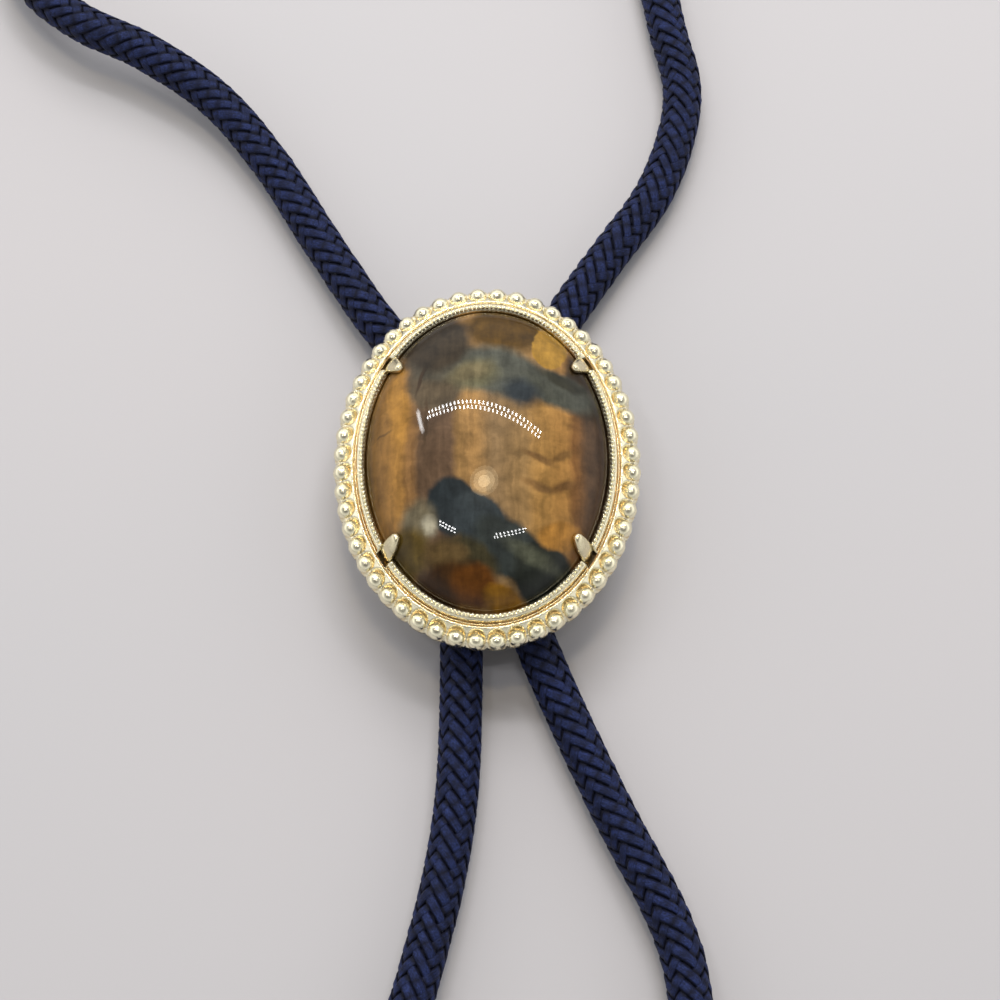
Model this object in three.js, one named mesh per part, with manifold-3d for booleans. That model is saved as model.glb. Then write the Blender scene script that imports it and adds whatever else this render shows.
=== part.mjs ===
// A bolo tie that lies on a table: a round braided cord with metal tips, and an oval slide that holds a domed
// stone in a beaded metal frame. Millimetres, +Z up, +Y towards the neck loop.
// The origin is under the middle of the slide, on the table.
import * as THREE from "three";
import { mergeVertices } from "three/addons/utils/BufferGeometryUtils.js";
import Module from "manifold-3d";

const wasm = await Module();
wasm.setup();

// Clearances
const seam = 0.1; // between flat metal faces that are glued or pressed together
const stoneGap = 0.3; // round the stone, to its frame and prongs
const cordClearance = 0.35; // round the cord, in the clip and in the tips
const prongSlotGap = 0.3; // beside each prong, in the frame

// Stone, an oval cabochon
const stoneHalfWidth = 15;
const stoneHalfLength = 20;
const girdleHeight = 1.9;
const domeHeight = 6.1;
const stoneUndercut = 0.5;

// Frame: a rim round the stone, a groove, a band that slopes down, and a row of beads
const borderWidth = 3.1;
const rimHeight = 3.35;
const beadDiameter = 2.3;
const beadGap = 0.19;
const beadProud = 0.8; // how far the beads stand out past the frame's edge
const beadCentreHeight = 0.6; // above the frame's flat back

// Setting cup: a plate under the stone with four prongs
const plateThickness = 0.8;
const plateMargin = 2.1; // how far the plate reaches under the frame
const prongWidth = 2.1;
const prongThickness = 0.75;
const prongTopShare = 0.82; // its outer face's width as a share of its inner face's
const prongReach = 2.5; // over the stone, level with the table
const prongAngles = [38, 142, 218, 322]; // round the oval, in degrees of its parameter

// Back clip, which both strands of the cord run through
const clipWall = 0.9;
const clipLength = 14;
const clipCentreY = -5.5;
const clipCorner = 2.2;
const channelCorner = 1.5;

// Cord
const cordDiameter = 5;
const cordSides = 10;
const cordSteps = 62;

// Tips, one on each free end
const tipLength = 24;
const tipWall = 0.5;
const tipLip = 0.2; // how far the rolled lip stands out at the mouth
const tipLipLength = 1.6;
const tipNoseRadius = 2.1;
const cordInTip = 8;

// The cord's middle line, from the left tip through the clip, round the neck loop and back to the right tip
const cordPoints = [
  // Left tail
  [-12.4, -77.6, 3.57],
  [-10.1, -69.4, 3.57],
  [-7.6, -60.8, 3.0],
  [-5.1, -50.4, 2.6],
  [-3.6, -40, 2.55],
  [-3.15, -27, 2.8],
  [-3.3, -14, 3.7],
  // Through the clip
  [-3.3, -5.5, 3.75],
  [-3.4, 2.5, 3.75],
  // Left strand of the neck loop
  [-8, 13.2, 3.6],
  [-15.3, 23.6, 3.1],
  [-22.4, 35, 2.6],
  [-29, 45.8, 2.9],
  [-36.8, 55.2, 4],
  [-46.4, 61.9, 5.2],
  [-56, 66.8, 5.5],
  [-63.2, 74, 4.7],
  // Round the neck, past the edge of the view
  [-67, 85.5, 3.4],
  [-67.4, 102, 2.6],
  [-61.5, 121.5, 2.55],
  [-50, 137, 2.55],
  [-33.5, 147.5, 2.55],
  [-13.5, 151, 2.55],
  [5.5, 147, 2.55],
  [18.8, 134.5, 2.55],
  [24.4, 116, 2.55],
  [21.8, 90, 2.55],
  // Right strand of the neck loop
  [24.3, 69.4, 2.55],
  [26.4, 56.5, 2.55],
  [22.8, 43, 2.55],
  [15.2, 31.2, 2.75],
  [8.2, 19.6, 3.45],
  [4, 7.6, 3.75],
  // Through the clip
  [3.3, -2.5, 3.75],
  [3.3, -12.5, 3.7],
  // Right tail
  [7.1, -24, 2.85],
  [14.6, -41, 2.55],
  [22.2, -57, 2.75],
  [24.1, -69.6, 3.57],
  [24.6, -78, 3.57],
].map((point) => new THREE.Vector3(...point));

// Heights that follow from the sizes
const channelWidth = cordDiameter + 2 * cordClearance;
const clipTop = channelWidth + 2 * clipWall;
const plateBottom = clipTop + seam;
const plateTop = plateBottom + plateThickness;
const frameBack = plateTop + seam;
const stoneBottom = plateTop + seam;
const girdleTop = stoneBottom + girdleHeight;

// The frame's section from its outer foot round to its inner foot. out is a share of the border's width from
// its inner edge, and up a share of the rim's height above the flat back.
const frameSection = [
  { out: 0, up: 0 },
  { out: 1, up: 0 },
  { out: 1, up: 0.27 },
  { out: 0.69, up: 0.33 },
  { out: 0.5, up: 0.63 },
  { out: 0.42, up: 0.64 },
  { out: 0.34, up: 0.52 },
  { out: 0.24, up: 0.55 },
  { out: 0.225, up: 0.87 },
  { out: 0.12, up: 1 },
  { out: 0, up: 0.89 },
  { out: 0, up: 0 },
];

// A prong's sections along its arm over the stone. reach is a share of its reach, wide a share of its width.
const prongSections = [
  { reach: 0.04, wide: 1 },
  { reach: 0.2, wide: 1 },
  { reach: 0.45, wide: 1.06 },
  { reach: 0.7, wide: 0.94 },
  { reach: 0.9, wide: 0.66 },
  { reach: 1, wide: 0.3 },
];

// Smoothness of the round forms
const ovalSteps = 104;
const domeRings = 7;
const stoneSides = 60;
const beadSides = 10;
const beadRings = 5;
const tipSides = 20;

const gold = new THREE.MeshStandardMaterial({ color: 0xdcc582, roughness: 0.28, metalness: 1 });
const prongGold = new THREE.MeshStandardMaterial({ color: 0xb9a36c, roughness: 0.3, metalness: 1 });
const clipMetal = new THREE.MeshStandardMaterial({ color: 0xc9b171, roughness: 0.4, metalness: 1 });
const tipGold = new THREE.MeshStandardMaterial({ color: 0xd6bd78, roughness: 0.25, metalness: 1 });
const tigerEye = new THREE.MeshStandardMaterial({ color: 0x6e4a1c, roughness: 0.12, metalness: 0 });
const navyBraid = new THREE.MeshStandardMaterial({ color: 0x22284e, roughness: 0.75, metalness: 0 });

// Geometry to a solid that can be joined and cut, and back
function toSolid(geometry) {
  const bare = geometry.clone();
  bare.deleteAttribute("normal");
  bare.deleteAttribute("uv");
  const merged = mergeVertices(bare, 1e-4);
  return new wasm.Manifold(
    new wasm.Mesh({
      numProp: 3,
      vertProperties: new Float32Array(merged.attributes.position.array),
      triVerts: new Uint32Array(merged.index.array),
    }),
  );
}

function toGeometry(solid) {
  const mesh = solid.getMesh();
  const geometry = new THREE.BufferGeometry();
  geometry.setAttribute("position", new THREE.BufferAttribute(new Float32Array(mesh.vertProperties), 3));
  geometry.setIndex(new THREE.BufferAttribute(new Uint32Array(mesh.triVerts), 1));
  geometry.computeVertexNormals();
  return geometry;
}

function joined(geometries) {
  return geometries.map(toSolid).reduce((whole, solid) => whole.add(solid));
}

// A point of the oval that lies out millimetres outside the stone's edge
function ovalPoint(angle, out, z) {
  return new THREE.Vector3(
    (stoneHalfWidth + out) * Math.cos(angle),
    (stoneHalfLength + out) * Math.sin(angle),
    z,
  );
}

// The level direction that points straight out of the stone's edge
function ovalNormal(angle) {
  return new THREE.Vector3(
    Math.cos(angle) / stoneHalfWidth,
    Math.sin(angle) / stoneHalfLength,
    0,
  ).normalize();
}

// Angles that put places at even distances along an oval, and how many fit a spacing
function evenAngles(out, spacing) {
  const walk = 4000;
  const lengths = [0];
  for (let i = 1; i <= walk; i++) {
    const before = ovalPoint(((i - 1) / walk) * 2 * Math.PI, out, 0);
    const here = ovalPoint((i / walk) * 2 * Math.PI, out, 0);
    lengths.push(lengths[i - 1] + here.distanceTo(before));
  }
  const count = Math.round(lengths[walk] / spacing);
  return Array.from({ length: count }, (_, k) => {
    const wanted = ((k + 0.5) / count) * lengths[walk];
    return (lengths.findIndex((length) => length >= wanted) / walk) * 2 * Math.PI;
  });
}

// A lathe turned about the vertical axis, then drawn out from a circle to the oval of the stone
function ovalRing(section) {
  const drawnOut = stoneHalfLength - stoneHalfWidth;
  const geometry = new THREE.LatheGeometry(section, ovalSteps).rotateX(Math.PI / 2);
  const place = geometry.attributes.position;
  for (let i = 0; i < place.count; i++) {
    const radius = Math.hypot(place.getX(i), place.getY(i));
    place.setY(i, (place.getY(i) * (radius + drawnOut)) / radius);
  }
  return geometry;
}

// A solid through a row of sections with equally many corners
function loft(sections) {
  const corners = sections[0].length;
  const last = (sections.length - 1) * corners;
  const faces = [];
  for (let s = 0; s < sections.length - 1; s++)
    for (let c = 0; c < corners; c++) {
      const a = s * corners + c;
      const b = s * corners + ((c + 1) % corners);
      faces.push(a, b, b + corners, a, b + corners, a + corners);
    }
  for (let c = 1; c < corners - 1; c++) {
    faces.push(0, c + 1, c);
    faces.push(last, last + c, last + c + 1);
  }
  const geometry = new THREE.BufferGeometry().setFromPoints(sections.flat());
  geometry.setIndex(faces);
  geometry.computeVertexNormals();
  return geometry;
}

function makeBeadedFrame() {
  const section = frameSection.map(
    ({ out, up }) =>
      new THREE.Vector2(
        stoneHalfWidth + stoneGap + out * borderWidth,
        frameBack + up * rimHeight,
      ),
  );
  let frame = toSolid(ovalRing(section));
  const beadOut = stoneGap + borderWidth + beadProud - beadDiameter / 2;
  for (const angle of evenAngles(beadOut, beadDiameter + beadGap)) {
    const bead = new THREE.SphereGeometry(beadDiameter / 2, beadSides, beadRings);
    const normal = ovalNormal(angle);
    bead.rotateX(Math.PI / 2).rotateZ(Math.atan2(normal.y, normal.x));
    bead.translate(...ovalPoint(angle, beadOut, frameBack + beadCentreHeight));
    frame = frame.add(toSolid(bead));
  }
  const below = new THREE.BoxGeometry(
    4 * stoneHalfWidth,
    4 * stoneHalfLength,
    2 * beadDiameter,
  ).translate(0, 0, frameBack - beadDiameter);
  frame = frame.subtract(toSolid(below));
  const slotDepth = prongThickness + prongSlotGap;
  for (const degrees of prongAngles) {
    const angle = THREE.MathUtils.degToRad(degrees);
    const normal = ovalNormal(angle);
    const slot = new THREE.BoxGeometry(
      2 * slotDepth,
      prongWidth + 2 * prongSlotGap,
      4 * rimHeight,
    );
    slot.rotateZ(Math.atan2(normal.y, normal.x));
    slot.translate(...ovalPoint(angle, 0, frameBack).addScaledVector(normal, stoneGap));
    frame = frame.subtract(toSolid(slot));
  }
  return new THREE.Mesh(toGeometry(frame), gold);
}

// The stone's domed face at a level place, and the direction that points out of it
function domeAt(x, y) {
  const inside = 1 - (x / stoneHalfWidth) ** 2 - (y / stoneHalfLength) ** 2;
  const rise = domeHeight * Math.sqrt(Math.max(inside, 0));
  const normal = new THREE.Vector3(
    x / stoneHalfWidth ** 2,
    y / stoneHalfLength ** 2,
    rise / domeHeight ** 2,
  ).normalize();
  return { point: new THREE.Vector3(x, y, girdleTop + rise), normal };
}

// A prong stands in its slot in the frame and leans over the stone, a small gap above it
function makeProng(degrees) {
  const angle = THREE.MathUtils.degToRad(degrees);
  const outward = ovalNormal(angle);
  const across = new THREE.Vector3(-outward.y, outward.x, 0);
  const edge = ovalPoint(angle, 0, 0);
  const section = (point, normal, wide) => {
    const half = (wide * prongWidth) / 2;
    const inner = point.clone().addScaledVector(normal, stoneGap);
    const outer = point.clone().addScaledVector(normal, stoneGap + prongThickness);
    return [
      inner.clone().addScaledVector(across, half),
      inner.clone().addScaledVector(across, -half),
      outer.clone().addScaledVector(across, -half * prongTopShare),
      outer.clone().addScaledVector(across, half * prongTopShare),
    ];
  };
  const foot = edge.clone().setZ(plateTop - plateThickness / 2);
  const shoulder = edge.clone().setZ(girdleTop);
  const arm = prongSections.map(({ reach, wide }) => {
    const level = edge.clone().addScaledVector(outward, -reach * prongReach);
    const { point, normal } = domeAt(level.x, level.y);
    return section(point, normal, wide);
  });
  return loft([section(foot, outward, 1), section(shoulder, outward, 1), ...arm]);
}

function makeSettingCup() {
  const plate = new THREE.CylinderGeometry(1, 1, plateThickness, ovalSteps)
    .rotateX(Math.PI / 2)
    .scale(stoneHalfWidth + plateMargin, stoneHalfLength + plateMargin, 1)
    .translate(0, 0, plateBottom + plateThickness / 2);
  const cup = joined([plate, ...prongAngles.map(makeProng)]);
  return new THREE.Mesh(toGeometry(cup), prongGold);
}

function makeCabochon() {
  const profile = [
    new THREE.Vector2(0, 0),
    new THREE.Vector2(stoneHalfWidth - stoneUndercut, 0),
    new THREE.Vector2(stoneHalfWidth, stoneUndercut),
  ];
  for (let ring = 0; ring <= domeRings; ring++) {
    const turn = ((ring / domeRings) * Math.PI) / 2;
    profile.push(
      new THREE.Vector2(
        ring === domeRings ? 0 : stoneHalfWidth * Math.cos(turn),
        girdleHeight + domeHeight * Math.sin(turn),
      ),
    );
  }
  const stone = new THREE.LatheGeometry(profile, stoneSides)
    .rotateX(Math.PI / 2)
    .scale(1, stoneHalfLength / stoneHalfWidth, 1);
  const mesh = new THREE.Mesh(stone, tigerEye);
  mesh.position.z = stoneBottom;
  return mesh;
}

function roundedRectangle(Path, centreX, centreZ, width, height, radius) {
  const path = new Path();
  const x = centreX - width / 2;
  const z = centreZ - height / 2;
  path.absarc(x + width - radius, z + radius, radius, -Math.PI / 2, 0);
  path.absarc(x + width - radius, z + height - radius, radius, 0, Math.PI / 2);
  path.absarc(x + radius, z + height - radius, radius, Math.PI / 2, Math.PI);
  path.absarc(x + radius, z + radius, radius, Math.PI, 1.5 * Math.PI);
  path.closePath();
  return path;
}

function makeBackClip() {
  const spacing = channelWidth + clipWall;
  const width = spacing + channelWidth + 2 * clipWall;
  const outline = roundedRectangle(THREE.Shape, 0, clipTop / 2, width, clipTop, clipCorner);
  for (const side of [-1, 1])
    outline.holes.push(
      roundedRectangle(
        THREE.Path,
        (side * spacing) / 2,
        clipTop / 2,
        channelWidth,
        channelWidth,
        channelCorner,
      ),
    );
  const clip = new THREE.ExtrudeGeometry(outline, {
    depth: clipLength,
    bevelEnabled: false,
    curveSegments: 4,
  }).rotateX(Math.PI / 2);
  const mesh = new THREE.Mesh(clip, clipMetal);
  mesh.position.y = clipCentreY + clipLength / 2;
  return mesh;
}

const cordLine = new THREE.CatmullRomCurve3(cordPoints, false, "catmullrom", 0.5);

function makeCord() {
  const section = new THREE.Shape(
    Array.from({ length: cordSides }, (_, k) => {
      const turn = (k / cordSides) * 2 * Math.PI;
      return new THREE.Vector2(Math.cos(turn), Math.sin(turn)).multiplyScalar(cordDiameter / 2);
    }),
  );
  const tube = new THREE.ExtrudeGeometry(section, {
    steps: cordSteps,
    extrudePath: cordLine,
    bevelEnabled: false,
  });
  return new THREE.Mesh(tube, navyBraid);
}

// A tip is a hollow cap with a rolled lip that tapers to a round nose. The cord's end stands in its bore.
function makeTip(atStart) {
  const boreRadius = cordDiameter / 2 + cordClearance;
  const bodyRadius = boreRadius + tipWall;
  const lipRadius = bodyRadius + tipLip;
  const boreDepth = cordInTip + cordClearance;
  const noseCentre = tipLength - tipNoseRadius;
  const profile = [
    new THREE.Vector2(0, boreDepth),
    new THREE.Vector2(boreRadius, boreDepth),
    new THREE.Vector2(boreRadius, 0),
    new THREE.Vector2(bodyRadius, 0),
    new THREE.Vector2(lipRadius, tipLipLength * 0.3),
    new THREE.Vector2(lipRadius, tipLipLength * 0.7),
    new THREE.Vector2(bodyRadius, tipLipLength),
    new THREE.Vector2(bodyRadius, boreDepth),
    new THREE.Vector2(tipNoseRadius, noseCentre),
    new THREE.Vector2(tipNoseRadius * 0.71, noseCentre + tipNoseRadius * 0.71),
    new THREE.Vector2(0, tipLength),
  ];
  const length = cordLine.getLength();
  const end = cordLine.getPointAt(atStart ? 0 : 1);
  const mouth = cordLine.getPointAt(atStart ? cordInTip / length : 1 - cordInTip / length);
  const outward = end.clone().sub(mouth).setZ(0).normalize();
  const mesh = new THREE.Mesh(new THREE.LatheGeometry(profile, tipSides), tipGold);
  mesh.position.copy(mouth);
  mesh.quaternion.setFromUnitVectors(new THREE.Vector3(0, 1, 0), outward);
  return mesh;
}

function named(name, mesh) {
  mesh.name = name;
  return mesh;
}

const slide = new THREE.Group();
slide.add(named("beaded_frame", makeBeadedFrame()));
slide.add(named("setting_cup", makeSettingCup()));
slide.add(named("cabochon", makeCabochon()));
slide.add(named("back_clip", makeBackClip()));

const cord = new THREE.Group();
cord.add(named("braided_cord", makeCord()));
cord.add(named("tip_left", makeTip(true)));
cord.add(named("tip_right", makeTip(false)));

const boloTie = new THREE.Group();
boloTie.add(slide, cord);

export default boloTie;
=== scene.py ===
# A bolo tie on a pale table: the finish of its beaded slide, domed stone and clip, and its braided cord with
# metal tips. Metres, +Z up, +Y towards the neck loop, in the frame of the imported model.
import math
from functools import partial

import bpy
import numpy as np
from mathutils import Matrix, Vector


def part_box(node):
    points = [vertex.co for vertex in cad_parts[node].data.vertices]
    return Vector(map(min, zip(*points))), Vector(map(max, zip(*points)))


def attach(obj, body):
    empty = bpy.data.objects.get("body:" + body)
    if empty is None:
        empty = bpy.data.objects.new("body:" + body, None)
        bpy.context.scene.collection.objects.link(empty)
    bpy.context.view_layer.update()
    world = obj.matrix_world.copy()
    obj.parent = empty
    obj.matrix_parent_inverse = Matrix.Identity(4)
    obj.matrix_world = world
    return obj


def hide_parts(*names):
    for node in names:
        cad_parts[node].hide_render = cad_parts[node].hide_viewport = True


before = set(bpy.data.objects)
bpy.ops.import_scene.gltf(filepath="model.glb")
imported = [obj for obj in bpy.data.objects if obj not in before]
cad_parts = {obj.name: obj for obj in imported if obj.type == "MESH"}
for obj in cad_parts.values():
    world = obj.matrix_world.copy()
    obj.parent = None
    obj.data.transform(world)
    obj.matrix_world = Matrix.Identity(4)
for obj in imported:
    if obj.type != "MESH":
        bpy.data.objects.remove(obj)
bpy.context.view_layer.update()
MM = 0.001

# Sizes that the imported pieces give
stone_low, stone_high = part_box("cabochon")
STONE_HALF_WIDTH = stone_high.x
STONE_HALF_LENGTH = stone_high.y
STONE_BOTTOM = stone_low.z
STONE_TOP = stone_high.z
FRAME_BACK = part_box("beaded_frame")[0].z
cup_low, cup_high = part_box("setting_cup")
clip_low, clip_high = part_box("back_clip")

# Stone
GIRDLE_HEIGHT = 1.9 * MM
STONE_UNDERCUT = 0.5 * MM
STONE_GAP = 0.3 * MM
GIRDLE_TOP = STONE_BOTTOM + GIRDLE_HEIGHT
DOME_HEIGHT = STONE_TOP - GIRDLE_TOP
STONE_ROUND = 160
STONE_RINGS = 40
# The stone's side under its dome: how far inside its edge, and height above its flat underside
STONE_SIDE = [
    (STONE_UNDERCUT, 0.0),
    (STONE_UNDERCUT * 0.3, 0.35 * MM),
    (0.05 * MM, 0.8 * MM),
    (0.0, 1.3 * MM),
]

# Frame
BEAD_COUNT = 52
BEAD_RADIUS = 1.1 * MM
BEAD_OUT = 3.0 * MM
BEAD_HEIGHT = 0.72 * MM
BEAD_SIDES = 26
BEAD_RINGS = 14
# Painted shade on the lower half of each bead and grain
BEAD_UNDERSIDE_SHADE = 0.5
FRAME_RINGS = 16 * BEAD_COUNT
GRAIN_COUNT = 206
GRAIN_RADIUS = 0.32 * MM
GRAIN_OUT = 0.5 * MM
GRAIN_HEIGHT = 3.02 * MM
GRAIN_SIDES = 10
GRAIN_RINGS = 6
GRAIN_CLEARANCE = 0.2 * MM

# Prongs
PRONG_ANGLES = (38, 142, 218, 322)
PRONG_HALF_WIDTH = 1.05 * MM
PRONG_THICKNESS = 0.65 * MM
PRONG_REACH = 2.0 * MM
PRONG_SLOT_HALF_WIDTH = 1.2 * MM
PRONG_SLOT_OUT = 1.35 * MM
PRONG_SLOT_HEIGHT = 1.9 * MM
PRONG_GAP = STONE_GAP * 0.6
PLATE_THICKNESS = 0.8 * MM
PLATE_CHAMFER = 0.15 * MM
PLATE_INSET = 6 * MM
PLATE_ROUND = 128

# Clip
CLIP_WALL = 0.9 * MM
CLIP_CORNER = 2.2 * MM
CHANNEL_CORNER = 1.5 * MM
CLIP_EDGE = 0.22 * MM
CHANNEL_MIDDLE = 3.3 * MM
CHANNEL_CLEARANCE = 0.7 * MM

# Cord
CORD_DIAMETER = 5.0 * MM
CROWN_RADIUS = 2.66 * MM
TABLE_CLEARANCE = 0.02 * MM
CARRIERS = 8  # strands that wind each way
BRAID_PITCH = 2.15 * MM  # along the cord, from one strand to the next of the same way
STRAND_WIDTH = 1.36 * MM
STRAND_RISE = 0.14 * MM
STRAND_DEPTH = 0.2 * MM
STRAND_LIFT = 0.16 * MM
STRAND_STEP = 0.5 * MM
STRAND_WANDER = 0.04 * MM
STRAND_WIDTH_WANDER = 0.13
WANDER_COUNT = 260
CROSSING_DIP = 0.09 * MM
CROSSING_SHARPNESS = 9
CLIMB = 1.6  # how quickly a strand goes from under to over
OVER_LEAN = 0.32  # how much longer the strands of way 1 stay on top
FIBRE_SHIFT = 613.0  # between the fibres of one strand and the next
CORE_SIDES = 10
CORE_STEP = 2.0 * MM
LINE_STEP = 0.25 * MM

# Tips
TIP_LENGTH = 24.0 * MM
TIP_WALL = 0.5 * MM
TIP_CLEARANCE = 0.35 * MM
TIP_LIP = 0.2 * MM
TIP_LIP_LENGTH = 1.6 * MM
TIP_MOUTH = 0.12 * MM
TIP_CORNER = 0.1 * MM
TIP_NOSE_RADIUS = 2.1 * MM
CORD_IN_TIP = 8.0 * MM
TIP_SIDES = 40

# The cord's middle line in millimetres, from the left tip round the neck loop to the right tip
CORD_POINTS = [
    # Left tail
    (-12.4, -77.6, 3.57),
    (-10.1, -69.4, 3.57),
    (-7.6, -60.8, 3.0),
    (-5.1, -50.4, 2.6),
    (-3.6, -40, 2.55),
    (-3.15, -27, 2.8),
    (-3.3, -14, 3.7),
    # Through the clip
    (-3.3, -5.5, 3.75),
    (-3.4, 2.5, 3.75),
    # Left strand of the neck loop
    (-8, 13.2, 3.6),
    (-15.3, 23.6, 3.1),
    (-22.4, 35, 2.6),
    (-29, 45.8, 2.9),
    (-36.8, 55.2, 4),
    (-46.4, 61.9, 5.2),
    (-56, 66.8, 5.5),
    (-63.2, 74, 4.7),
    # Round the neck, past the edge of the view
    (-67, 85.5, 3.4),
    (-67.4, 102, 2.6),
    (-61.5, 121.5, 2.55),
    (-50, 137, 2.55),
    (-33.5, 147.5, 2.55),
    (-13.5, 151, 2.55),
    (5.5, 147, 2.55),
    (18.8, 134.5, 2.55),
    (24.4, 116, 2.55),
    (21.8, 90, 2.55),
    # Right strand of the neck loop
    (24.3, 69.4, 2.55),
    (26.4, 56.5, 2.55),
    (22.8, 43, 2.55),
    (15.2, 31.2, 2.75),
    (8.2, 19.6, 3.45),
    (4, 7.6, 3.75),
    # Through the clip
    (3.3, -2.5, 3.75),
    (3.3, -12.5, 3.7),
    # Right tail
    (7.1, -24, 2.85),
    (14.6, -41, 2.55),
    (22.2, -57, 2.75),
    (24.1, -69.6, 3.57),
    (24.6, -78, 3.57),
]


CAMERA_PLACE = (1.6, -100.02, 257.4)
CAMERA_TARGET = (1.6, -5.05, 10.0)
CAMERA_LENS = 77.75


def make_camera():
    camera = bpy.data.cameras.new("camera")
    camera.lens = CAMERA_LENS
    camera.sensor_width = 36
    camera.clip_start = 0.005
    camera.clip_end = 20
    holder = bpy.data.objects.new("camera", camera)
    bpy.context.scene.collection.objects.link(holder)
    holder.location = Vector(CAMERA_PLACE) * MM
    toward = Vector(CAMERA_TARGET) * MM - holder.location
    holder.rotation_euler = toward.to_track_quat("-Z", "Y").to_euler()
    bpy.context.scene.camera = holder


def colour(red, green, blue):
    """A picture colour of 0 to 255 as the linear colour that shaders take."""
    parts = []
    for part in (red, green, blue):
        share = part / 255
        parts.append(share / 12.92 if share <= 0.04045 else ((share + 0.055) / 1.055) ** 2.4)
    return (*parts, 1.0)


def add_node(tree, kind, values=None, **settings):
    """A new node. values holds a number, a colour or a socket for each input, by its name or number."""
    node = tree.nodes.new(kind)
    for name, setting in settings.items():
        setattr(node, name, setting)
    for name, value in (values or {}).items():
        if isinstance(value, bpy.types.NodeSocket):
            tree.links.new(value, node.inputs[name])
        else:
            node.inputs[name].default_value = value
    return node


def mixed(tree, factor, first, second, blend="MIX"):
    """The socket of a colour between first and second."""
    values = {0: factor, 6: first, 7: second}
    return add_node(tree, "ShaderNodeMix", values, data_type="RGBA", blend_type=blend).outputs[2]


def multiplied(tree, first, second):
    return mixed(tree, 1.0, first, second, "MULTIPLY")


def spread(tree, value, low, high, to_low=0.0, to_high=1.0, smooth=True):
    """The socket of value, spread from low and high to to_low and to_high."""
    values = {"Value": value, "From Min": low, "From Max": high, "To Min": to_low, "To Max": to_high}
    kind = "SMOOTHSTEP" if smooth else "LINEAR"
    return add_node(tree, "ShaderNodeMapRange", values, interpolation_type=kind).outputs["Result"]


def maths(tree, operation, first, second=0.0):
    return add_node(tree, "ShaderNodeMath", {0: first, 1: second}, operation=operation).outputs[0]


def vector_maths(tree, operation, values):
    return add_node(tree, "ShaderNodeVectorMath", values, operation=operation)


def millimetres(tree):
    """The socket of a surface point's place in millimetres."""
    place = add_node(tree, "ShaderNodeTexCoord").outputs["Object"]
    return vector_maths(tree, "SCALE", {"Vector": place, "Scale": 1 / MM}).outputs["Vector"]


def stretched(tree, place, scale):
    """The socket of a place, scaled along each axis."""
    return add_node(tree, "ShaderNodeMapping", {"Vector": place, "Scale": scale}).outputs["Vector"]


def noise(tree, place, scale, detail=2.0, roughness=0.5):
    values = {"Vector": place, "Scale": scale, "Detail": detail, "Roughness": roughness}
    return add_node(tree, "ShaderNodeTexNoise", values)


def new_material(name):
    """A material with its tree and its Principled BSDF, wired to the output."""
    material = bpy.data.materials.new(name)
    material.use_nodes = True
    tree = material.node_tree
    return material, tree, tree.nodes["Principled BSDF"]


def new_group(name, inputs, outputs):
    """A shader node group with its ends. inputs and outputs hold (name, socket type, value)."""
    tree = bpy.data.node_groups.new(name, "ShaderNodeTree")
    for socket_name, kind, value in inputs:
        socket = tree.interface.new_socket(socket_name, in_out="INPUT", socket_type=kind)
        socket.default_value = value
    for socket_name, kind in outputs:
        tree.interface.new_socket(socket_name, in_out="OUTPUT", socket_type=kind)
    return tree, tree.nodes.new("NodeGroupInput"), tree.nodes.new("NodeGroupOutput")


PALE_GOLD = colour(250, 242, 210)
GREYER_GOLD = colour(232, 220, 184)
SATIN_GOLD = colour(214, 194, 138)
# Brown that the gold takes as painted shade in its hollows, under its beads and on its outer wall
HOLLOW_SHADE_COLOUR = colour(186, 144, 82)


def make_plate_wear_and_shade():
    """Plated metal's uneven polish, a fine ripple and a wandering roughness, and painted brown shade in
    hollows.
    """
    tree, given, made = new_group(
        "plate_wear_and_shade",
        [
            ("Colour", "NodeSocketColor", (0.9, 0.8, 0.5, 1)),
            ("Shade colour", "NodeSocketColor", (0.5, 0.3, 0.1, 1)),
            ("Hollow", "NodeSocketFloat", 0.0),
            ("Roughness", "NodeSocketFloat", 0.2),
            ("Ripple per mm", "NodeSocketFloat", 1.2),
        ],
        [
            ("Colour", "NodeSocketColor"),
            ("Roughness", "NodeSocketFloat"),
            ("Height", "NodeSocketFloat"),
        ],
    )
    place = millimetres(tree)
    wander = noise(tree, place, 0.7, 3.0)
    ripple = noise(tree, place, given.outputs["Ripple per mm"], 4.0, 0.6)
    speck = noise(tree, place, 9.0)
    patchy = spread(tree, wander.outputs["Fac"], 0.35, 0.7, 0.75, 1.15)
    # Painted shade: the shade colour mixed in, patchy, where the hollow attribute is high
    hollow_shade = maths(tree, "MULTIPLY", given.outputs["Hollow"], patchy)
    tint = mixed(tree, hollow_shade, given.outputs["Colour"], given.outputs["Shade colour"])
    shade = spread(tree, speck.outputs["Fac"], 0.3, 0.7, 0.93, 1.03)
    tree.links.new(multiplied(tree, tint, shade), made.inputs["Colour"])
    rough = spread(tree, wander.outputs["Fac"], 0.3, 0.7, 0.75, 1.35)
    rougher = maths(tree, "MULTIPLY", given.outputs["Roughness"], rough)
    dulled = maths(tree, "ADD", rougher, maths(tree, "MULTIPLY", hollow_shade, 0.12))
    tree.links.new(dulled, made.inputs["Roughness"])
    tree.links.new(ripple.outputs["Fac"], made.inputs["Height"])
    return tree


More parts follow.
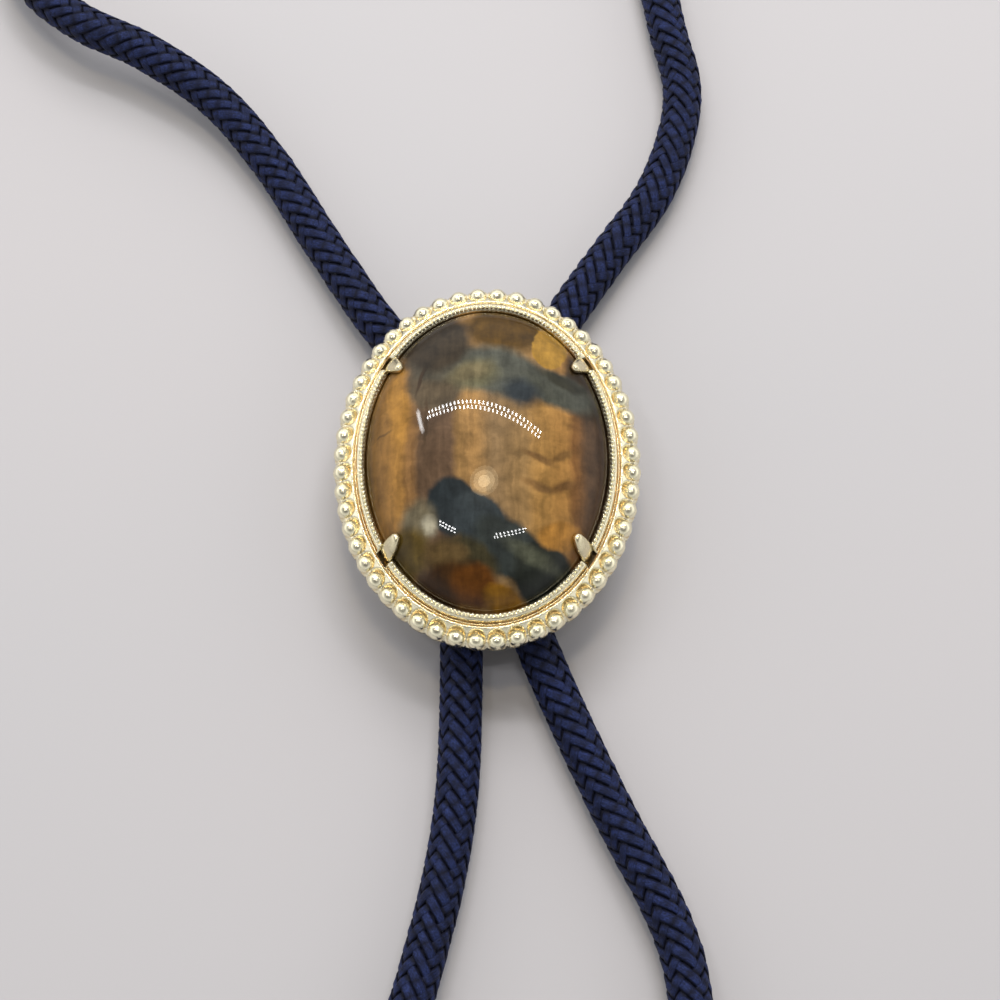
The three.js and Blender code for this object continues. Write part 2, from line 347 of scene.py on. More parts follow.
def make_metal(name, plate_wear_and_shade, tint, roughness, ripple_per_mm, ripple_depth):
    """Plated metal. ripple_depth is in millimetres."""
    material, tree, shader = new_material(name)
    values = {
        "Colour": tint,
        # Painted shade, set by the hollow attribute that the frame's points carry
        "Shade colour": HOLLOW_SHADE_COLOUR,
        "Hollow": add_node(tree, "ShaderNodeAttribute", attribute_name="hollow").outputs["Fac"],
        "Roughness": roughness,
        "Ripple per mm": ripple_per_mm,
    }
    wear_and_shade = add_node(tree, "ShaderNodeGroup", values, node_tree=plate_wear_and_shade)
    values = {"Height": wear_and_shade.outputs["Height"], "Strength": 1.0, "Distance": ripple_depth * MM}
    bump = add_node(tree, "ShaderNodeBump", values)
    tree.links.new(wear_and_shade.outputs["Colour"], shader.inputs["Base Color"])
    tree.links.new(wear_and_shade.outputs["Roughness"], shader.inputs["Roughness"])
    tree.links.new(bump.outputs["Normal"], shader.inputs["Normal"])
    shader.inputs["Metallic"].default_value = 1.0
    return material


# The stone's colour bands from its left edge to its right edge: place in millimetres and picture colour
STONE_BANDS = [
    (-15.0, (112, 86, 48)),
    (-12.6, (146, 108, 58)),
    (-10.6, (156, 116, 62)),
    (-9.3, (136, 102, 66)),
    (-7.9, (94, 75, 61)),
    (-4.4, (98, 78, 64)),
    (-3.2, (150, 117, 76)),
    (-1.4, (162, 126, 82)),
    (1.0, (138, 113, 84)),
    (4.4, (146, 117, 80)),
    (6.4, (165, 127, 76)),
    (9.4, (160, 120, 70)),
    (10.8, (122, 86, 50)),
    (12.4, (86, 65, 48)),
    (15.0, (66, 51, 41)),
]

# Clouds of other colour in the stone, and one painted highlight: middle and half size in millimetres, turn in
# degrees, edge softness, picture colour
STONE_CLOUDS = [
    ("top_gold_brown", (2.4, 16.6), (5.0, 4.2), 0, 0.5, (86, 63, 22)),
    ("right_dark", (12.8, 9.0), (3.4, 5.4), 0, 0.5, (54, 42, 28)),
    ("left_grey_brown", (-6.2, 8.4), (3.6, 4.2), 0, 0.5, (90, 79, 66)),
    ("sweep_left", (-5.6, 11.6), (4.6, 3.0), -8, 0.6, (80, 77, 70)),
    ("sweep_middle", (1.6, 9.6), (6.6, 3.4), -14, 0.6, (84, 87, 84)),
    ("sweep_right", (8.8, 7.4), (4.6, 2.5), -16, 0.6, (74, 77, 73)),
    ("sweep_light", (-1.4, 9.2), (2.6, 2.0), 20, 1.2, (104, 102, 82)),
    ("blue_patch", (4.1, 6.8), (2.2, 1.7), -25, 1.2, (50, 57, 66)),
    ("top_gold_patch", (7.7, 13.8), (2.1, 3.4), 4, 0.12, (166, 128, 54)),
    ("teal_head", (-4.2, -8.0), (3.0, 3.6), 10, 0.3, (40, 47, 54)),
    ("teal_neck", (-0.9, -9.9), (4.0, 2.9), -42, 0.3, (52, 60, 68)),
    ("teal_body", (2.9, -13.1), (4.9, 3.1), -36, 0.4, (50, 56, 58)),
    ("teal_foot", (7.2, -15.2), (4.0, 2.7), -24, 0.4, (44, 48, 46)),
    ("teal_streak", (5.6, -13.8), (3.4, 0.9), -28, 1.3, (84, 88, 78)),
    ("grey_cloud", (-8.3, -9.8), (2.1, 2.6), 0, 0.9, (108, 101, 86)),
    ("low_dark", (-1.9, -14.0), (3.8, 2.0), -32, 0.6, (60, 56, 40)),
    # A painted highlight: a soft pale spot where a light is mirrored on the dome
    ("painted_highlight_spot", (-6.8, -10.3), (0.8, 1.1), 20, 1.3, (168, 164, 152)),
    ("olive_left", (-10.0, -13.2), (3.2, 3.0), 0, 0.6, (92, 76, 36)),
    ("tan_low", (-5.0, -13.8), (2.6, 1.9), 0, 0.8, (96, 78, 50)),
    ("brown_low", (-4.8, -17.2), (3.2, 2.6), 0, 0.6, (64, 42, 20)),
    ("amber_low", (-1.4, -17.2), (2.8, 2.5), -15, 0.6, (96, 58, 20)),
    ("gold_low", (2.0, -18.8), (2.4, 1.5), -20, 0.6, (136, 96, 26)),
    ("orange_right", (8.8, -11.2), (2.7, 1.7), 12, 0.5, (166, 120, 60)),
    ("teal_hem", (6.6, -17.6), (3.6, 2.2), -24, 0.5, (36, 40, 38)),
    ("chevron_upper_left", (6.2, -1.7), (1.9, 0.45), -22, 1.2, (122, 92, 58)),
    ("chevron_upper_right", (9.0, -1.4), (1.5, 0.5), 24, 1.2, (120, 90, 54)),
    ("chevron_lower_left", (6.4, -5.3), (1.9, 0.5), -16, 1.2, (124, 94, 60)),
    ("chevron_lower_right", (9.3, -5.1), (1.4, 0.6), 22, 1.2, (120, 88, 54)),
    ("crack_upper", (-7.9, 10.4), (0.25, 3.4), -12, 0.9, (62, 50, 40)),
    ("crack_lower", (-7.5, 2.6), (0.25, 3.2), -4, 0.9, (78, 62, 48)),
    ("left_vein", (-11.4, 2.6), (3.0, 0.16), 28, 1.0, (112, 84, 48)),
    ("left_gold", (-10.9, 5.4), (1.4, 4.6), 0, 1.0, (164, 121, 58)),
    ("top_left_dark", (-6.4, 14.6), (4.6, 4.6), 10, 0.5, (58, 50, 41)),
    ("right_streaks", (9.4, 8.8), (2.8, 0.9), -24, 0.9, (46, 46, 38)),
    ("wedge_light", (-2.2, 9.6), (2.6, 1.3), 18, 1.2, (112, 104, 82)),
]


CLOUD_EDGE = 0.45  # half the width of a cloud's edge where its softness is 1
STONE_IOR = 1.54
DRIFT = 1.3
RAGGEDNESS = 0.8
FIBRE_STRETCH = (0.35, 2.6, 0.6)
STREAK_STRETCH = (1.7, 0.13, 0.4)
DEPTH_TINT = colour(234, 230, 214)
ANY_HEIGHT = 1000  # millimetres, so that an oval takes in every height


def moved_by(tree, noise_node, start, distance):
    """The socket of a place that the noise moves by up to about half the distance."""
    centred = vector_maths(tree, "SUBTRACT", {0: noise_node.outputs["Color"], 1: (0.5, 0.5, 0.5)})
    moved = vector_maths(tree, "SCALE", {"Vector": centred.outputs["Vector"], "Scale": distance})
    return vector_maths(tree, "ADD", {0: start, 1: moved.outputs["Vector"]}).outputs["Vector"]


def oval_distance(tree, place, half, middle=(0, 0), turn=0, label=""):
    """The socket of the distance from an oval's middle, which is 1 on the oval."""
    values = {
        "Vector": place,
        "Location": (*middle, 0),
        "Rotation": (0, 0, math.radians(turn)),
        "Scale": (*half, ANY_HEIGHT),
    }
    mapping = add_node(tree, "ShaderNodeMapping", values, vector_type="TEXTURE", label=label)
    return vector_maths(tree, "LENGTH", {"Vector": mapping.outputs["Vector"]}).outputs["Value"]


def make_tiger_eye():
    """Polished banded stone: upright bands, drifting clouds, fibres, streaks, a fine crack and a painted
    highlight spot, with painted shade towards its edge.
    """
    material, tree, shader = new_material("tiger_eye")
    place = millimetres(tree)
    drifted = moved_by(tree, noise(tree, place, 0.2, 3.0), place, DRIFT)
    warped = moved_by(tree, noise(tree, place, 0.7, 7.0, 0.6), drifted, RAGGEDNESS)
    apart = add_node(tree, "ShaderNodeSeparateXYZ", {"Vector": warped})

    left, right = STONE_BANDS[0][0], STONE_BANDS[-1][0]
    across = spread(tree, apart.outputs["X"], left, right, smooth=False)
    bands = add_node(tree, "ShaderNodeValToRGB", {"Fac": across})
    bands.color_ramp.interpolation = "EASE"
    stops = bands.color_ramp.elements
    for where, _ in STONE_BANDS[1:-1]:
        stops.new((where - left) / (right - left))
    for stop, (_, shade) in zip(stops, STONE_BANDS):
        stop.color = colour(*shade)
    tint = bands.outputs["Color"]

    for name, middle, half, turn, soft, shade in STONE_CLOUDS:
        distance = oval_distance(tree, warped, half, middle, turn, name)
        mask = spread(tree, distance, 1 + soft * CLOUD_EDGE, 1 - soft * CLOUD_EDGE)
        tint = mixed(tree, mask, tint, colour(*shade))

    fibres = noise(tree, stretched(tree, warped, FIBRE_STRETCH), 1.0, 5.0, 0.6)
    streaks = noise(tree, stretched(tree, warped, STREAK_STRETCH), 1.0, 3.0)
    mottle = noise(tree, warped, 0.5, 5.0, 0.55)
    for pattern, low, high, darkest, lightest in (
        (fibres, 0.3, 0.7, 0.95, 1.04),
        (streaks, 0.32, 0.68, 0.84, 1.14),
        (mottle, 0.32, 0.68, 0.66, 1.26),
    ):
        shade = spread(tree, pattern.outputs["Fac"], low, high, darkest, lightest, smooth=False)
        tint = multiplied(tree, tint, shade)

    stone_half = (STONE_HALF_WIDTH / MM, STONE_HALF_LENGTH / MM)
    edge_shade = spread(tree, oval_distance(tree, place, stone_half), 0.8, 1.0, 1.0, 0.72)
    tint = multiplied(tree, multiplied(tree, tint, edge_shade), DEPTH_TINT)

    tree.links.new(tint, shader.inputs["Base Color"])
    shader.inputs["Roughness"].default_value = 0.3
    shader.inputs["IOR"].default_value = STONE_IOR
    shader.inputs["Specular IOR Level"].default_value = 0.04
    shader.inputs["Coat Weight"].default_value = 0.3
    shader.inputs["Coat Roughness"].default_value = 0.02
    shader.inputs["Coat IOR"].default_value = STONE_IOR
    return material


def make_navy_braid():
    """Flat bundles of fine fibres: streaks along each strand, pale specks of painted highlight, and painted
    shade at its edges, where it dips and at its crossings.
    """
    material, tree, shader = new_material("navy_braid")
    along = add_node(tree, "ShaderNodeUVMap", uv_map="fibre").outputs["UV"]
    lift = add_node(tree, "ShaderNodeAttribute", attribute_name="lift").outputs["Fac"]
    crossing = add_node(tree, "ShaderNodeAttribute", attribute_name="crossing").outputs["Fac"]
    apart = add_node(tree, "ShaderNodeSeparateXYZ", {"Vector": along})

    def noise_at(scale, detail, roughness=0.6):
        return noise(tree, stretched(tree, along, scale), 1.0, detail, roughness).outputs["Fac"]

    streaks = noise_at((10, 0.9, 1), 4.0, 0.7)
    nubs = noise_at((6, 3.4, 1), 3.0)
    patches = noise_at((1.3, 0.55, 1), 2.0)
    drift = noise(tree, millimetres(tree), 0.2)
    navy = mixed(tree, drift.outputs["Fac"], colour(17, 24, 48), colour(31, 42, 84))
    for pattern, low, high in ((streaks, 0.5, 1.5), (nubs, 0.45, 1.7), (patches, 0.8, 1.22)):
        navy = multiplied(tree, navy, spread(tree, pattern, 0.3, 0.7, low, high, smooth=False))
    # Painted highlight: sparse pale blue specks on the strands
    highlight_specks = spread(tree, noise_at((9, 5.0, 1), 2.0), 0.66, 0.74)
    tint = mixed(tree, maths(tree, "MULTIPLY", highlight_specks, 0.5), navy, colour(84, 98, 150))
    # Painted shade: near black at each strand's edges, where it dips under others and in the dent at each
    # crossing
    middle = maths(tree, "ABSOLUTE", maths(tree, "SUBTRACT", apart.outputs["X"], 0.5))
    edge = spread(tree, middle, 0.22, 0.46)
    dip = spread(tree, lift, 0.78, 0.28)
    dent = maths(tree, "MULTIPLY", crossing, 0.95)
    braid_shade = maths(tree, "MAXIMUM", maths(tree, "MAXIMUM", edge, dip), dent)
    tint = mixed(tree, maths(tree, "MULTIPLY", braid_shade, 0.94), tint, colour(6, 7, 20))
    height = maths(tree, "ADD", streaks, nubs)
    bump = add_node(tree, "ShaderNodeBump", {"Height": height, "Strength": 1.0, "Distance": 0.07 * MM})
    tree.links.new(tint, shader.inputs["Base Color"])
    tree.links.new(bump.outputs["Normal"], shader.inputs["Normal"])
    shader.inputs["Roughness"].default_value = 0.6
    shader.inputs["Specular IOR Level"].default_value = 0.16
    shader.inputs["Sheen Weight"].default_value = 0.03
    shader.inputs["Sheen Roughness"].default_value = 0.45
    shader.inputs["Sheen Tint"].default_value = colour(120, 128, 190)
    return material


def make_braid_core():
    """The filling that shows between the strands, coloured darker than they are as painted shade in the gaps.
    """
    material, tree, shader = new_material("braid_core")
    fuzz = noise(tree, millimetres(tree), 5.0)
    tint = mixed(tree, fuzz.outputs["Fac"], colour(6, 7, 24), colour(14, 16, 44))
    tree.links.new(tint, shader.inputs["Base Color"])
    shader.inputs["Roughness"].default_value = 0.9
    return material


def make_table_top():
    """Pale, slightly warm matt board."""
    material, tree, shader = new_material("table_top")
    mottle = noise(tree, millimetres(tree), 0.012)
    tint = mixed(tree, mottle.outputs["Fac"], colour(180, 180, 183), colour(185, 182, 184))
    tree.links.new(tint, shader.inputs["Base Color"])
    shader.inputs["Roughness"].default_value = 0.75
    return material


def mesh_piece(name, points, faces, material, smooth=True):
    """A mesh object from points in metres and faces as rows of point numbers."""
    mesh = bpy.data.meshes.new(name)
    mesh.from_pydata([tuple(p) for p in points], [], [tuple(f) for f in faces])
    mesh.polygons.foreach_set("use_smooth", [smooth] * len(mesh.polygons))
    mesh.materials.append(material)
    mesh.update()
    piece = bpy.data.objects.new(name, mesh)
    bpy.context.scene.collection.objects.link(piece)
    return piece


def set_attribute(piece, name, values):
    attribute = piece.data.attributes.new(name, "FLOAT", "POINT")
    attribute.data.foreach_set("value", np.asarray(values, np.float32))


def grid_faces(rows, columns, wrap_rows=False, wrap_columns=True):
    """Faces of a grid of points, row after row."""
    row = np.arange(rows if wrap_rows else rows - 1)
    column = np.arange(columns if wrap_columns else columns - 1)
    r, c = np.meshgrid(row, column, indexing="ij")
    after = (r + 1) % rows
    beside = (c + 1) % columns
    corners = [r * columns + c, r * columns + beside, after * columns + beside, after * columns + c]
    return np.stack(corners, -1).reshape(-1, 4).tolist()


def end_faces(count, first, last):
    """The flat ends of a tube whose first and last rings of points start at these numbers."""
    return [[first + k for k in reversed(range(count))], [last + k for k in range(count)]]


# The braided cord


def smooth_line(points, per_span=40):
    """A Catmull-Rom curve through the points, each end carried straight on."""
    p = np.array(points, float)
    p = np.vstack([2 * p[0] - p[1], p, 2 * p[-1] - p[-2]])
    t = (np.arange(per_span) / per_span)[:, None]
    spans = []
    for a, b, c, d in zip(p[:-3], p[1:-2], p[2:-1], p[3:]):
        spans.append(
            b
            + 0.5 * (c - a) * t
            + 0.5 * (2 * a - 5 * b + 4 * c - d) * t**2
            + 0.5 * (3 * b - a - 3 * c + d) * t**3
        )
    return np.vstack([*spans, p[-2:-1]])


class CordLine:
    """The cord's middle line with its level side and its top, read by the distance along it."""

    def __init__(self, points, step):
        line = smooth_line(points)
        run = np.concatenate([[0], np.cumsum(np.linalg.norm(np.diff(line, axis=0), axis=1))])
        self.length = run[-1]
        self.along = np.linspace(0, self.length, int(self.length / step) + 1)
        self.middle = self.each(run, line, self.along)
        heading = np.gradient(self.middle, axis=0)
        heading /= np.linalg.norm(heading, axis=1)[:, None]
        self.side = np.cross(heading, (0, 0, 1))
        self.side /= np.linalg.norm(self.side, axis=1)[:, None]
        self.top = np.cross(self.side, heading)

    @staticmethod
    def each(places, values, wanted):
        return np.stack([np.interp(wanted, places, values[:, k]) for k in range(3)], -1)

    def at(self, along, turn, radius):
        """Points at distances along the line, turned round it and out from it."""
        side = self.each(self.along, self.side, along)
        top = self.each(self.along, self.top, along)
        middle = self.each(self.along, self.middle, along)
        out = np.cos(turn)[..., None] * side + np.sin(turn)[..., None] * top
        place = middle + radius[..., None] * out
        place[..., 2] = np.maximum(place[..., 2], TABLE_CLEARANCE)
        return place


# How the cord's eight columns lie: distance along the cord in millimetres, and the turn of the columns as a
# share of the distance from one column to the next but one
COLUMN_TURNS = [
    (0, -0.13),
    (60, -0.12),
    (95, -0.02),
    (130, 0.06),
    (420, 0.92),
    (440, 0.85),
    (462, 0.55),
    (480, 0.62),
    (500, 0.85),
    (520, 0.9),
    (548, 0.86),
]


def strand_points(line, start, way, rng):
    """One strand of the braid: rings of five points, their fibre coordinates, how high they ride and how near
    they are to a crossing. way is 1 or -1, the direction that it winds. Round the cord it goes over two
    strands and under two, in eight columns."""
    turns_per_metre = 2 * math.pi / (CARRIERS * BRAID_PITCH)
    middle_radius = CROWN_RADIUS - STRAND_RISE - STRAND_LIFT
    slope = math.atan(turns_per_metre * middle_radius)
    count = int(line.length / STRAND_STEP) + 1
    run = np.linspace(0, line.length, count)
    twist_places, twists = np.array(COLUMN_TURNS).T
    twist = np.interp(run / MM, twist_places, twists) * 4 * math.pi / CARRIERS
    turn = start + way * turns_per_metre * run
    column = np.cos(CARRIERS / 2 * turn - math.pi / 4)
    ride = way * np.clip(np.tanh(CLIMB * (column + OVER_LEAN)) / math.tanh(CLIMB), -1, 1)
    crossing = np.clip(way * column, 0, 1) ** CROSSING_SHARPNESS
    turn = turn + twist
    wander_places = np.linspace(0, line.length, WANDER_COUNT)
    wander = np.interp(run, wander_places, rng.uniform(-1, 1, WANDER_COUNT))
    top = middle_radius + STRAND_LIFT * ride + STRAND_WANDER * wander - CROSSING_DIP * crossing
    # Across the strand from edge to edge over its crown, then back under it: share of its half width, height
    section = [(-1, 0), (-0.45, STRAND_RISE), (0.45, STRAND_RISE), (1, 0), (0, -STRAND_DEPTH)]
    rings, fibres = [], []
    for share, height in section:
        offset = share * STRAND_WIDTH / 2 * (1 + STRAND_WIDTH_WANDER * wander)
        along = np.clip(run - way * offset * math.sin(slope), 0, line.length)
        round_cord = turn + offset * math.cos(slope) / middle_radius
        rings.append(line.at(along, round_cord, top + height))
        fibres.append(np.stack([np.full(count, (share + 1) / 2), run / MM / math.cos(slope)], -1))
    lift = np.repeat((ride[:, None] + 1) / 2, len(section), axis=1)
    crossing = np.repeat(crossing[:, None], len(section), axis=1)
    return np.stack(rings, 1), np.stack(fibres, 1), lift, crossing


def make_braid(line, strand_material, core_material):
    rng = np.random.default_rng(5)
    points, faces, fibres, lifts, crossings, slots = [], [], [], [], [], []
    offset = 0
    for way in (1, -1):
        for carrier in range(CARRIERS):
            start = 2 * math.pi * carrier / CARRIERS
            rings, fibre, lift, crossing = strand_points(line, start, way, rng)
            count, sides = rings.shape[:2]
            fibre = fibre + (0, FIBRE_SHIFT * (carrier + (CARRIERS if way == 1 else 0)))
            grid = np.array(grid_faces(count, sides)) + offset
            ends = end_faces(sides, offset, offset + (count - 1) * sides)
            if way == 1:
                grid = grid[:, ::-1]
            else:
                ends = [end[::-1] for end in ends]
            faces += grid.tolist() + ends
            slots += [0] * (len(grid) + 2)
            points.append(rings.reshape(-1, 3))
            fibres.append(fibre.reshape(-1, 2))
            lifts.append(lift.reshape(-1))
            crossings.append(crossing.reshape(-1))
            offset += count * sides
    along = np.linspace(0, line.length, int(line.length / CORE_STEP) + 1)
    turn = np.arange(CORE_SIDES) / CORE_SIDES * 2 * math.pi
    along, turn = np.meshgrid(along, turn, indexing="ij")
    core_radius = CROWN_RADIUS - STRAND_RISE - 2 * STRAND_LIFT - STRAND_DEPTH / 2
    core = line.at(along, turn, np.full(along.shape, core_radius))
    grid = np.array(grid_faces(len(along), CORE_SIDES)) + offset
    last = offset + (len(along) - 1) * CORE_SIDES
    faces += grid.tolist()
    faces += end_faces(CORE_SIDES, offset, last)
    slots += [1] * (len(grid) + 2)
    points.append(core.reshape(-1, 3))
    fibres.append(np.zeros((core.size // 3, 2)))
    lifts.append(np.zeros(core.size // 3))
    crossings.append(np.zeros(core.size // 3))
    braid = mesh_piece("braided_cord_strands", np.vstack(points), faces, strand_material)
    braid.data.materials.append(core_material)
    braid.data.polygons.foreach_set("material_index", slots)
    set_attribute(braid, "lift", np.concatenate(lifts))
    set_attribute(braid, "crossing", np.concatenate(crossings))
    corner_point = np.zeros(len(braid.data.loops), np.int32)
    braid.data.loops.foreach_get("vertex_index", corner_point)
    layer = braid.data.uv_layers.new(name="fibre")
    layer.data.foreach_set("uv", np.vstack(fibres)[corner_point].astype(np.float32).ravel())
    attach(braid, "root")
    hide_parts("braided_cord")
    return braid


def make_tip(name, node, line, at_start, material):
    """A hollow turned cap on the cord's end, with a rolled lip at its mouth and a round nose."""
    bore = CORD_DIAMETER / 2 + TIP_CLEARANCE
    body = bore + TIP_WALL
    lip = body + TIP_LIP
    bore_depth = CORD_IN_TIP + TIP_CLEARANCE
    nose_centre = TIP_LENGTH - TIP_NOSE_RADIUS
    profile = [
        (0.0, bore_depth),
        (bore - TIP_CORNER, bore_depth),
        (bore, bore_depth - TIP_CORNER),
        (bore, TIP_MOUTH),
    ]
    for angle in np.linspace(math.pi, 2 * math.pi, 13):
        radius = (bore + lip) / 2 + (lip - bore) / 2 * math.cos(angle)
        profile.append((radius, TIP_LIP_LENGTH / 2 * (1 + math.sin(angle))))
    profile += [(body, TIP_LIP_LENGTH * 0.85), (body, TIP_LIP_LENGTH * 1.1), (body, bore_depth)]
    for share in np.arange(1, 6) / 6:
        radius = body + (TIP_NOSE_RADIUS - body) * share
        profile.append((radius, bore_depth + (nose_centre - bore_depth) * share))
    for angle in np.linspace(0, math.pi / 2, 9):
        along = nose_centre + TIP_NOSE_RADIUS * math.sin(angle)
        profile.append((TIP_NOSE_RADIUS * math.cos(angle), along))
    ends = line.middle if at_start else line.middle[::-1]
    mouth = line.each(line.along, ends, CORD_IN_TIP)
    outward = ends[0] - mouth
    outward[2] = 0
    outward /= np.linalg.norm(outward)
    side = np.cross(outward, (0, 0, 1))
    top = np.cross(side, outward)
    points, faces = [mouth + outward * profile[0][1]], []
    for radius, along in profile[1:-1]:
        for k in range(TIP_SIDES):
            turn = 2 * math.pi * k / TIP_SIDES
            points.append(mouth + outward * along + radius * (math.cos(turn) * side + math.sin(turn) * top))
    points.append(mouth + outward * profile[-1][1])
    rings = len(profile) - 2
    faces += [(0, 1 + k, 1 + (k + 1) % TIP_SIDES) for k in range(TIP_SIDES)]
    faces += [tuple(i + 1 for i in reversed(f)) for f in grid_faces(rings, TIP_SIDES)]
    last = 1 + (rings - 1) * TIP_SIDES
    faces += [(len(points) - 1, last + (k + 1) % TIP_SIDES, last + k) for k in range(TIP_SIDES)]
    tip = mesh_piece(name, points, faces, material)
    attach(tip, "root")
    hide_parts(node)
    return tip


# The slide's oval


def oval_place(turn, out):
    """Level places that lie out metres outside the stone's edge, at these turns round the oval."""
    return np.stack([(STONE_HALF_WIDTH + out) * np.cos(turn), (STONE_HALF_LENGTH + out) * np.sin(turn)], -1)


def level_ring(turns, out, height):
    level = oval_place(turns, out)
    return np.concatenate([level, np.full((len(turns), 1), height)], 1).tolist()


def oval_outward(turn):
    way = np.stack([np.cos(turn) / STONE_HALF_WIDTH, np.sin(turn) / STONE_HALF_LENGTH], -1)
    return way / np.linalg.norm(way, axis=-1, keepdims=True)


def oval_runs(out):
    """Turns round the oval and the distance walked to each, for reading one from the other."""
    turn = np.linspace(0, 2 * math.pi, 6001)
    steps = np.linalg.norm(np.diff(oval_place(turn, out), axis=0), axis=1)
    return turn, np.concatenate([[0], np.cumsum(steps)])


def even_turns(out, count):
    turn, run = oval_runs(out)
    return np.interp((np.arange(count) + 0.5) / count * run[-1], run, turn)


def round_ball(centre, radii, axis_turn, sides, rings):
    """Points and faces of a ball, drawn out along its own level axes."""
    points = [(0, 0, -1)]
    for r in range(1, rings):
        fall = math.pi * r / rings
        for s in range(sides):
            turn = 2 * math.pi * s / sides
            points.append((math.sin(fall) * math.cos(turn), math.sin(fall) * math.sin(turn), -math.cos(fall)))
    points.append((0, 0, 1))
    points = np.array(points) * radii
    c, s = math.cos(axis_turn), math.sin(axis_turn)
    x = points[:, 0] * c - points[:, 1] * s
    y = points[:, 0] * s + points[:, 1] * c
    points = np.stack([x, y, points[:, 2]], -1) + centre
    faces = [(0, 1 + (s + 1) % sides, 1 + s) for s in range(sides)]
    faces += [tuple(i + 1 for i in f) for f in grid_faces(rings - 1, sides)]
    top = len(points) - 1
    last = top - sides
    faces += [(top, last + s, last + (s + 1) % sides) for s in range(sides)]
    return points, faces


# The frame's section in millimetres from the stone's edge outwards and up from its flat back, with how hollow
# each place is, which is the share of painted shade that it gets: the rim, two fine grooves with a ridge
# between them, and the crest of the band
RIM_AND_GROOVE = [
    (0.3, 0.0, 0.6),
    (0.3, 1.1, 0.6),
    (0.12, 1.7, 0.5),
    (0.02, 2.2, 0.2),
    (-0.02, 2.45, 0),
    (-0.03, 2.62, 0),
    (0.04, 2.78, 0),
    (0.2, 2.9, 0),
    (0.4, 2.98, 0),
    (0.64, 3.02, 0),
    (0.86, 2.96, 0),
    (0.98, 2.84, 0),
    (1.04, 2.66, 0),
    (1.07, 2.3, 0.2),
    (1.09, 1.98, 0.5),
    (1.12, 1.86, 0.9),
    (1.16, 1.86, 0.9),
    (1.19, 1.98, 0.4),
    (1.22, 2.05, 0),
    (1.27, 2.08, 0),
    (1.32, 2.05, 0),
    (1.36, 1.94, 0.4),
    (1.39, 1.8, 0.9),
    (1.43, 1.8, 0.9),
    (1.46, 1.94, 0.4),
    (1.5, 2.06, 0),
    (1.58, 2.14, 0),
    (1.72, 2.17, 0),
]
CREST_OUT = 1.72 * MM
CREST_HEIGHT = 2.17 * MM
LAND_FOOT_HEIGHT = 1.32 * MM
LAND_FOOT_SHARE = 0.62
EDGE_OUT = 3.64 * MM
EDGE_SCALLOP = 0.3 * MM
EDGE_HEIGHT = 0.5 * MM
COLLAR_RADIUS = 1.27 * MM
COLLAR_FOOT_RADIUS = 1.06 * MM
COLLAR_DEPTH_HEIGHT = 1.05 * MM
LAND_STEPS = 22
# Painted shade in the bowl round each bead's foot and on the frame's outer wall
BOWL_SHADE = 0.5
EDGE_WALL_SHADE = 0.3


